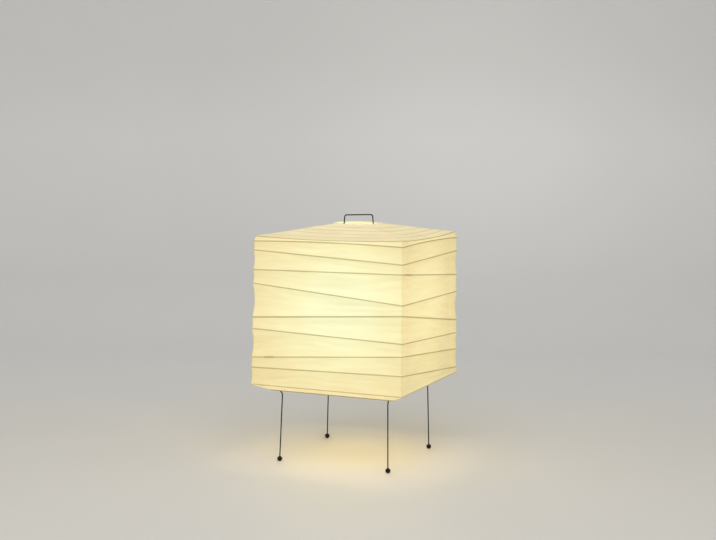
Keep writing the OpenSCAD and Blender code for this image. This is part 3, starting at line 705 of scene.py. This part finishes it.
    def waves(self, side: Side, across: Array, down: Array) -> tuple[Array, Array]:
        """Wrinkles of the pasted paper, which run nearly along the bamboo.

        Args:
            side: which wall.
            across: the columns, as shares of the wall.
            down: each point's way down from line to line.

        Returns:
            How far each point stands out, from -1 to 1, and the painted light and shade on its slope, alike.
        """
        along = np.broadcast_to((across + side.value) * self.width, down.shape)

        def wave(turns: float, way: Array, seed: float) -> Array:
            """Noise with so many turns to a metre along the wall, at each point's way through it."""
            return ripple(np.stack([along * turns, 0 * along, way], -1), seed)

        drift = 16 * MM * wave(8, down * 10, 5.3)
        slow = wave(7, down * 24, 3.7)
        creased = wave(9, (down + drift) * 75, 11.3)
        shaded = wave(9, (down + drift) * 75 + 0.25, 11.3) - creased
        return 0.6 * slow + 0.4 * creased, np.clip(2.2 * shaded + 0.4 * slow, -1, 1)

    def wall_grid(self, side: Side, across: Array, out: float) -> tuple[Array, dict[str, Array]]:
        """Points of a wall, moved outwards by a distance.

        Args:
            side: which wall.
            across: the columns, as shares of the wall from its left corner.
            out: how far the points stand off the wall's surface.

        Returns:
            The points, and what the material reads at each: the distances to bamboo and corner, and the
            wrinkles' painted shade.
        """
        crown = self.roof_line(side, self.roof_ends(side)[0], across)
        crown[1] -= self.paper + self.slip
        ends = [(0, 0), *self.crossings(self.wall_start, self.wall_turns, side), (100, 100)]
        lines = [crown, *(self.wall_line(side, end, across) for end in ends)]
        half, height, rib, down, fold = [], [], [], [], []
        for number, (above, below) in enumerate(zip(lines, lines[1:])):
            part, (wide, high_up), gap = self.band(above, below, number == len(lines) - 2)
            ease = arch(part) * np.minimum(1.0, gap / self.calm_gap) * (1 - np.abs(2 * across - 1) ** 6)
            down.append((number + part) * self.band_step)
            rise, shaded = self.waves(side, across, down[-1])
            fold.append(shaded)
            half.append(wide - self.draw_in * gap * arch(part) + self.wrinkle * (0.8 * rise - 0.25) * ease + out)
            height.append(high_up)
            upper, lower = part * gap, (1 - part) * gap
            if number == 0:
                lower = lower + self.rib_width / 2
            if number == 1:
                upper = np.abs(upper - self.rib_width / 2)
            # One line's painted shadow is drawn wider, as for a stouter strip.
            upper, lower = (apart - self.stouter * (at == self.stout_line)
                            for apart, at in ((upper, number), (lower, number + 1)))
            rib.append(np.minimum(upper, lower) - self.batten_at(side, number, part, across))
        marks = {"rib": np.concatenate(rib), "down": np.concatenate(down), "fold": np.concatenate(fold),
                 "corner": np.minimum(across, 1 - across) * self.width}
        return side.place(across, np.concatenate(half), np.concatenate(height), self.slip), marks

    def batten_at(self, side: Side, number: int, part: Array, across: Array) -> Array:
        """How much wider the painted shadow of a line of bamboo is drawn where a batten is glued behind it.

        Args:
            side: which wall.
            number: the band between two lines, from the top.
            part: each row's share of the way down the band.
            across: the columns, as shares of the wall.

        Returns:
            The added half width at each point.
        """
        wider = np.zeros_like(part)
        for face, line, start, length in self.battens:
            if face is side and number in (line - 1, line):
                near_it = part > 0.5 if number == line - 1 else part < 0.5
                along = across * self.width
                wider += self.batten_wider * near_it * ((along > start) & (along < start + length))
        return wider

    def build_walls(self) -> None:
        """Builds the four wall sheets, from the fold under the roof to the lower fold."""
        for side, finish in zip(Side, (FRONT_PAPER, SIDE_PAPER, BACK_PAPER, LEFT_PAPER)):
            across = self.columns(0.0, 1.0, self.width)
            outer, marks = self.wall_grid(side, across, 0.0)
            inner, _ = self.wall_grid(side, across, -self.thick)
            sheet = Sheet(outer, inner, marks, ("side_spiral_rib", "top_hoop", "bottom_hoop"))
            sheet.build(f"wall_{side.label}", finish.material(), "wall_paper", f"side_paper_{side.label}")

    def build_laps(self) -> None:
        """Builds the glued edges of the front and back sheets, turned round onto the side walls."""
        finishes = {Side.RIGHT: LAP_PAPER.material(), Side.LEFT: LEFT_LAP_PAPER.material()}
        near, far = self.lap_front / self.width, self.lap_back / self.width
        spans = {
            "lap_front_right": (Side.RIGHT, 0.0, near),
            "lap_back_right": (Side.RIGHT, 1 - far, 1.0),
            "lap_back_left": (Side.LEFT, 0.0, far),
            "lap_front_left": (Side.LEFT, 1 - near, 1.0),
        }
        for name, (side, start, stop) in spans.items():
            across = self.columns(start, stop, self.width)
            outer, marks = self.wall_grid(side, across, self.lap_bed + self.lap_thick)
            inner, _ = self.wall_grid(side, across, self.lap_bed)
            sheet = Sheet(outer, inner, marks, (f"wall_{side.label}",))
            sheet.build(name, finishes[side], "lap_paper", "paper_laps")

    def build_roof(self) -> None:
        """Builds the four sides of the roof, from the fold to the hem round the ring."""
        finish = ROOF_PAPER.material()
        for side in Side:
            across = self.columns(0.0, 1.0, 2 * self.half_high)
            angle = -math.pi * 3 / 4 + math.pi / 2 * (side.value + across)
            edge = self.ring_half + self.hem_r + self.slip
            ring = np.stack([edge * np.cos(angle), edge * np.sin(angle), np.full_like(across, self.ring_z)], -1)
            lines = [side.place(across, *self.roof_line(side, ends, across)) for ends in self.roof_ends(side)]
            rows, ribs, down = [], [], []
            for number, (start, stop) in enumerate(zip(lines, [*lines[1:], ring])):
                last = number == len(lines) - 1
                gap = np.linalg.norm(stop - start, axis=-1)
                part = self.parts(gap, last)
                rows.append(self.roof_rows(start, stop, gap, part, across))
                ribs.append(np.minimum(part, 1.0 if last else 1 - part) * gap)
                down.append((number + part) * self.band_step / 2)
            outer, rib = np.concatenate(rows), np.concatenate(ribs)
            inner = outer - np.array([0.0, 0.0, self.thick])
            marks = {"rib": rib[::-1], "down": np.concatenate(down)[::-1], "fold": ripple(outer * 22, 4.4)[::-1],
                     "corner": np.minimum(across, 1 - across) * 2 * self.half_high}
            sheet = Sheet(self.mitred(outer, side)[::-1], self.mitred(inner, side)[::-1], marks,
                          ("top_spiral_rib", "top_ring"))
            sheet.build(f"roof_{side.label}", finish, "top_paper", f"top_paper_{side.label}")

    def roof_rows(self, start: Array, stop: Array, gap: Array, part: Array,
                  across: Array) -> Array:
        """Rows of points of a side of the roof, drawn in between two lines."""
        ease = arch(part) * (1 - (2 * across - 1) ** 4)
        points = mix(start, stop, part[..., None])
        waves = ripple(points * (14.0, 14.0, 14.0), 5.1) + 0.5 * ripple(points * (38.0, 38.0, 20.0), 8.9)
        points[..., 2] += (-self.draw_in * gap + 0.6 * self.wrinkle * waves) * ease
        return points

    def mitred(self, points: Array, side: Side) -> Array:
        """Pulls a side's points back from the planes of its two corners."""
        c, s = side.turn
        x, y, z = np.moveaxis(points, -1, 0)
        along, off = x * c + y * s, x * s - y * c
        along = np.clip(along, self.slip - off, off - self.slip)
        return np.stack([along * c + off * s, along * s - off * c, z], -1)

    def build_band(self) -> None:
        """Builds the four sheets turned in under the walls."""
        finish = BAND_PAPER.material()
        for side in Side:
            across = self.columns(0.0, 1.0, self.width)
            above = np.array([[self.half_low], [self.bottom_z]]) + 0 * across
            below = np.array([[self.rim_edge], [self.rim_z]]) + 0 * across
            part, (half, height), gap = self.band(above, below, True)
            along = (across + side.value) * 40 + 0 * part
            wave = ripple(np.stack([along, 3 * part, 0 * part], -1), 2.2)
            ease = arch(part) * (1 - np.abs(2 * across - 1) ** 8)
            height = height + (self.band_swell + 0.6 * self.wrinkle * wave) * ease
            outer = side.place(across, half, height, self.slip)
            marks = {"rib": np.minimum(part, 1 - part) * gap, "fold": wave, "down": part * self.band_step / 2,
                     "corner": np.minimum(across, 1 - across) * self.width}
            sheet = Sheet(outer, outer + np.array([0.0, 0.0, self.thick]), marks, ("bottom_rim", "bottom_hoop"))
            sheet.build(f"band_{side.label}", finish, "band_paper", f"bottom_paper_{side.label}")

    def build_hem(self) -> None:
        """Builds the roof's inner edges, turned round the ring's wire and a little uneven."""
        finish = HEM_PAPER.material()
        turn = np.linspace(0, 2 * math.pi, 145)[:-1]
        tube = np.linspace(0, 2 * math.pi, 17)[:-1]
        around, section = np.meshgrid(turn, tube, indexing="ij")
        uneven = ripple(np.stack([np.cos(around) * 9, np.sin(around) * 9, section], -1), 1.7)
        rings = []
        for radius in (self.hem_r + 0.12 * MM * uneven, self.hem_r - self.thick):
            reach = self.ring_half + radius * np.cos(section)
            rings.append(np.stack([reach * np.cos(around), reach * np.sin(around),
                                   self.ring_z + radius * np.sin(section)], -1).reshape(-1, 3))
        skin = wrapped(np.arange(around.size).reshape(around.shape).T)
        faces = np.concatenate([skin, skin[:, ::-1] + around.size])
        piece = put("hem_ring", np.concatenate(rings), faces, finish, Body.LAMP, "top_paper", "ring_hem")
        for label, value in (("rib", 9 * MM), ("corner", 9 * MM), ("fold", 0.0), ("down", 0.0)):
            made = piece.data.attributes.new(label, "FLOAT", "POINT")
            made.data.foreach_set("value", np.full(2 * around.size, value, np.float32))

    def build(self) -> None:
        """Builds all the paper."""
        self.build_walls()
        self.build_laps()
        self.build_roof()
        self.build_band()
        self.build_hem()


@dataclass
class Thread:
    """A rolled or cut thread on a thin round shell, as a closed mesh round the lamp's axis."""

    crest: float
    depth: float
    pitch: float
    start: float
    stop: float
    fade: float = 1.5 * MM
    around: int = 72

    def radius(self, height: Array, turn: Array, offset: float = 0.0) -> Array:
        """The thread's radius at heights and angles, which fades out to its crest at its upper end."""
        wave = 0.5 - 0.5 * np.cos(2 * math.pi * ((height - self.start) / self.pitch) - turn)
        ease = np.clip((self.stop - height) / self.fade, 0.0, 1.0)
        return self.crest + offset - self.depth * wave * ease

    def build(self, name: str, outer: Skin, inner: Skin, slot: str, body: Body, node: str) -> None:
        """Turns a closed shell.

        Args:
            name: the piece's name.
            outer: the heights of the outer skin's rows, upwards, and what gives its radius there.
            inner: the same for the inner skin, downwards.
            slot: the record's material slot.
            body: the body that it rides on.
            node: the frame's node that it stands for.
        """
        turn = np.linspace(0, 2 * math.pi, self.around + 1)[:-1]
        rows = []
        for heights, radius in (outer, inner):
            z, angle = np.meshgrid(heights, turn, indexing="ij")
            r = radius(z, angle)
            rows.append(np.stack([r * np.cos(angle), r * np.sin(angle), z], -1))
        points = np.concatenate(rows)
        faces = wrapped(np.arange(points.shape[0] * self.around).reshape(-1, self.around))
        put(name, points.reshape(-1, 3), faces, FINISHES[slot].material(), body, slot, node)


@dataclass
class BulbFitting:
    """The bulb's screw cap, the screw shell that it turns in, and the stem that carries the lampholder.

    The cone under the cap's thread is a list of heights over the bulb's tip, each with its distance inside
    the thread's crest.
    """

    pitch: float = 25.4 / 7 * MM
    depth: float = 0.7 * MM
    cap_thread: float = 20.5 * MM
    cap_wall: float = 0.3 * MM
    cap_cone: tuple = ((2.6 * MM, 4 * MM), (4.5 * MM, 1 * MM), (7 * MM, 0.0))
    shell_thread: float = 19 * MM
    shell_wall: float = 0.45 * MM
    thread_gap: float = 0.07 * MM
    stem_pitch: float = 1.0 * MM
    stem_depth: float = 0.55 * MM
    stem_wall: float = 1.5 * MM
    row: float = 0.45 * MM

    @staticmethod
    def rows(start: float, stop: float, step: float) -> Array:
        """Heights from start up to stop, a step apart."""
        return np.append(np.arange(start, stop, step), stop)

    def thread(self, crest: float, length: float) -> Thread:
        """The bulb's thread, from its tip upwards, with its crest at a radius."""
        tip = low("bulb_contact").z
        return Thread(crest, self.depth, self.pitch, tip, tip + length)

    def build_cap(self) -> None:
        """Rolls the thread into the bulb's cap, down to the cone that holds its insulator."""
        bottom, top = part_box("bulb_cap")
        thread = self.thread(top.x, self.cap_thread)
        over_tip, inside_crest = np.array(self.cap_cone).T

        def outside(z: Array, turn: Array) -> Array:
            """The cap's radius: the thread, or the cone where that is narrower."""
            cone = np.interp(z - thread.start, over_tip, top.x - inside_crest)
            return np.minimum(cone, thread.radius(z, turn))

        rows = self.rows(bottom.z, top.z, self.row)
        inner = (rows[::-1], lambda z, turn: outside(z, turn) - self.cap_wall)
        thread.build("cap_threaded", (rows, outside), inner, "cap_aluminium", Body.BULB, "bulb_cap")

    def build_shell(self) -> None:
        """Rolls the same thread into the lampholder's screw shell, and turns its floor in."""
        bottom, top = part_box("holder_screw_shell")
        thread = self.thread(high("bulb_cap").x + self.thread_gap, self.shell_thread)
        outer = (self.rows(bottom.z, top.z, self.row), lambda z, turn: thread.radius(z, turn, self.shell_wall))
        inner = (self.rows(bottom.z + self.shell_wall, top.z, self.row)[::-1], thread.radius)
        thread.build("shell_threaded", outer, inner, "contact_brass", Body.LAMP, "holder_screw_shell")

    def build_stem(self) -> None:
        """Cuts the fine thread on the stem tube, over its whole length."""
        bottom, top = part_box("stem_tube")
        thread = Thread(top.x, self.stem_depth, self.stem_pitch, bottom.z, math.inf, around=32)
        outer = (self.rows(bottom.z, top.z, self.stem_pitch / 4), thread.radius)
        inner = (np.array([top.z, bottom.z]), lambda z, turn: np.full_like(z, top.x - self.stem_wall))
        thread.build("stem_threaded", outer, inner, "plated_steel", Body.LAMP, "stem_tube")

    def build(self) -> None:
        """Builds the three threaded pieces."""
        self.build_cap()
        self.build_shell()
        self.build_stem()


@dataclass
class Hardware:
    """The solids that keep their own shape: bamboo, wire, lampholder and bulb."""

    replaced: tuple[str, ...] = ("side_paper", "top_paper", "bottom_paper", "paper_laps", "ring_hem",
                                 "bulb_cap", "holder_screw_shell", "stem_tube")

    def dress(self) -> None:
        """Gives each solid that shows the finish of its slot."""
        slots = {part["node"]: part["material_slot"] for part in frame["record"]["subparts"]}
        made = {}
        for node, piece in frame["nodes"].items():
            if node.startswith(self.replaced):
                continue
            slot = slots[node]
            if slot not in made:
                made[slot] = FINISHES[slot].material()
            piece.data.materials.clear()
            piece.data.materials.append(made[slot])
            log.info("finish %s on %s", slot, node)


@dataclass
class Studio:
    """The camera, the floor with its backdrop, and soft light.

    The lights that stand for the paper's own are given by the length of their sides and their watts.
    """

    lens: float = 67.93
    place: Point = (1.31835, -3.14323, 0.80104)
    yaw: float = math.radians(22.76)
    pitch: float = math.radians(5.45)
    roll: float = math.radians(0.70)
    floor_colour: Colour = (0.68, 0.66, 0.62)
    wall_colour: Colour = (0.70, 0.70, 0.688)
    glow_colour: Colour = (1.0, 0.94, 0.54)
    bright_patch: Point = (0.56, 2.75, 0.8)
    world_colour: Colour = (1.0, 0.99, 0.97)
    world_strength: float = 0.65
    overhead_place: Point = (0.6, -1.8, 3.0)
    overhead_aim: Point = (0.0, 0.0, 0.35)
    overhead_size: float = 2.8
    overhead_power: float = 43.5
    glow_height: float = 0.36
    glow_gap: float = 4 * MM
    wall_glow: tuple[float, float] = (0.35, 0.135)
    rim_gap: float = 8 * MM
    rim_glow: tuple[float, float] = (0.30, 0.18)

    def set_camera(self) -> None:
        """Stands the camera where the photograph was taken from."""
        data = bpy.data.cameras.new("camera")
        data.lens = self.lens
        data.sensor_width = 36.0
        data.clip_end = 60.0
        camera = bpy.data.objects.new("camera", data)
        pose = Matrix.Translation(self.place)
        for angle, axis in ((self.yaw, "Z"), (math.pi / 2 - self.pitch, "X"), (self.roll, "Z")):
            pose = pose @ Matrix.Rotation(angle, 4, axis)
        camera.matrix_world = pose
        bpy.context.scene.collection.objects.link(camera)
        bpy.context.scene.camera = camera

    def set_floor(self) -> None:
        """Lays the floor and raises the backdrop in one sweep, with painted light and shade in bands up it and a
        soft painted patch of light on it.
        """
        tree = Tree("floor")
        where = tree.add("TexCoord").outputs["Object"]
        axes = tree.add("SeparateXYZ", {0: where}).outputs
        back = tree.span(tree.math("ADD", axes[1], axes[2]), 0.0, 6.0, smooth=False)
        # Painted light and shade: the backdrop is a little lighter and darker in bands going up.
        painted_light_bands = ((0.25, 1.01), (0.42, 0.955), (0.59, 1.05), (0.70, 1.005))
        tone = tree.ramp(back, ((0.05, self.floor_colour),
                                *((at, tuple(share * c for c in self.wall_colour)) for at, share in painted_light_bands)))
        # A soft painted patch of light on the backdrop.
        away = tree.add("VectorMath", {0: where, 1: self.bright_patch}, operation="DISTANCE").outputs["Value"]
        lit = tree.product(tree.span(away, 0.0, 1.25, 1.12, 1.0),
                           tree.span(tree.noise((3.0,) * 3, 2.0), 0.3, 0.7, 0.99, 1.0))
        material = tree.shade(Base_Color=tree.times(tone, lit), Roughness=0.5, Specular_IOR_Level=0.25)
        mesh = bpy.data.meshes.new("floor")
        bend_from, radius, half_width = 1.6, 1.2, 25.0
        bend = [(bend_from + radius * math.sin(a), radius - radius * math.cos(a))
                for a in np.linspace(0, math.pi / 2, 17)]
        profile = [(-8.0, 0.0), *bend, (bend_from + radius, 7.0)]
        points = [(side, along, height) for along, height in profile for side in (-half_width, half_width)]
        faces = [(2 * at, 2 * at + 1, 2 * at + 3, 2 * at + 2) for at in range(len(profile) - 1)]
        mesh.from_pydata(points, [], faces)
        mesh.materials.append(material)
        mesh.polygons.foreach_set("use_smooth", [True] * len(faces))
        floor = bpy.data.objects.new("floor", mesh)
        floor.rotation_euler.z = self.yaw
        bpy.context.scene.collection.objects.link(floor)

    @staticmethod
    def add_light(name: str, place: Vector, aim: Vector, size: float, power: float,
                  colour: Colour = (1.0, 1.0, 1.0)) -> bpy.types.Object:
        """Hangs a square soft light.

        Args:
            name: the light's name.
            place: where it hangs.
            aim: the direction that it faces.
            size: the length of its sides.
            power: its strength in watts.
            colour: its colour.

        Returns:
            The light's object.
        """
        data = bpy.data.lights.new(name, "AREA")
        data.shape = "SQUARE"
        data.size, data.energy, data.color = size, power, colour
        light = bpy.data.objects.new(name, data)
        light.location = place
        light.rotation_euler = aim.to_track_quat("-Z", "Y").to_euler()
        bpy.context.scene.collection.objects.link(light)
        return light

    def set_light(self) -> None:
        """Lights the lamp softly from above and in front."""
        world = bpy.data.worlds.new("studio")
        world.use_nodes = True
        background = world.node_tree.nodes["Background"].inputs
        background["Color"].default_value = (*self.world_colour, 1.0)
        background["Strength"].default_value = self.world_strength
        bpy.context.scene.world = world
        place = Vector(self.overhead_place)
        self.add_light("overhead", place, Vector(self.overhead_aim) - place, self.overhead_size,
                       self.overhead_power)

    def set_lamplight(self) -> None:
        """Adds the light that the paper sends to the floor beyond what a picture's white can show."""
        down, up = Vector((0.0, 0.0, -1.0)), Vector((0.0, 0.0, 1.0))
        places = {"glow_below": (up * (low("bottom_rim").z - self.rim_gap), down, *self.rim_glow)}
        for side in Side:
            c, s = side.turn
            outwards = Vector((s, -c, 0.0))
            middle = outwards * (high("side_paper_right").x + self.glow_gap) + up * self.glow_height
            places[f"glow_{side.label}"] = (middle, outwards, *self.wall_glow)
        for name, (place, aim, size, power) in places.items():
            light = self.add_light(name, place, aim, size, power, self.glow_colour)
            light.visible_camera = False


def main() -> None:
    """Sets the studio, builds the paper and the threads, and dresses every other piece."""
    logging.basicConfig(level=logging.INFO, format="%(name)s: %(message)s")
    bpy.context.scene.view_settings.view_transform = "Standard"
    studio = Studio()
    studio.set_camera()
    studio.set_floor()
    studio.set_light()
    studio.set_lamplight()
    PaperShade().build()
    BulbFitting().build()
    Hardware().dress()


if __name__ == "__main__":
    main()
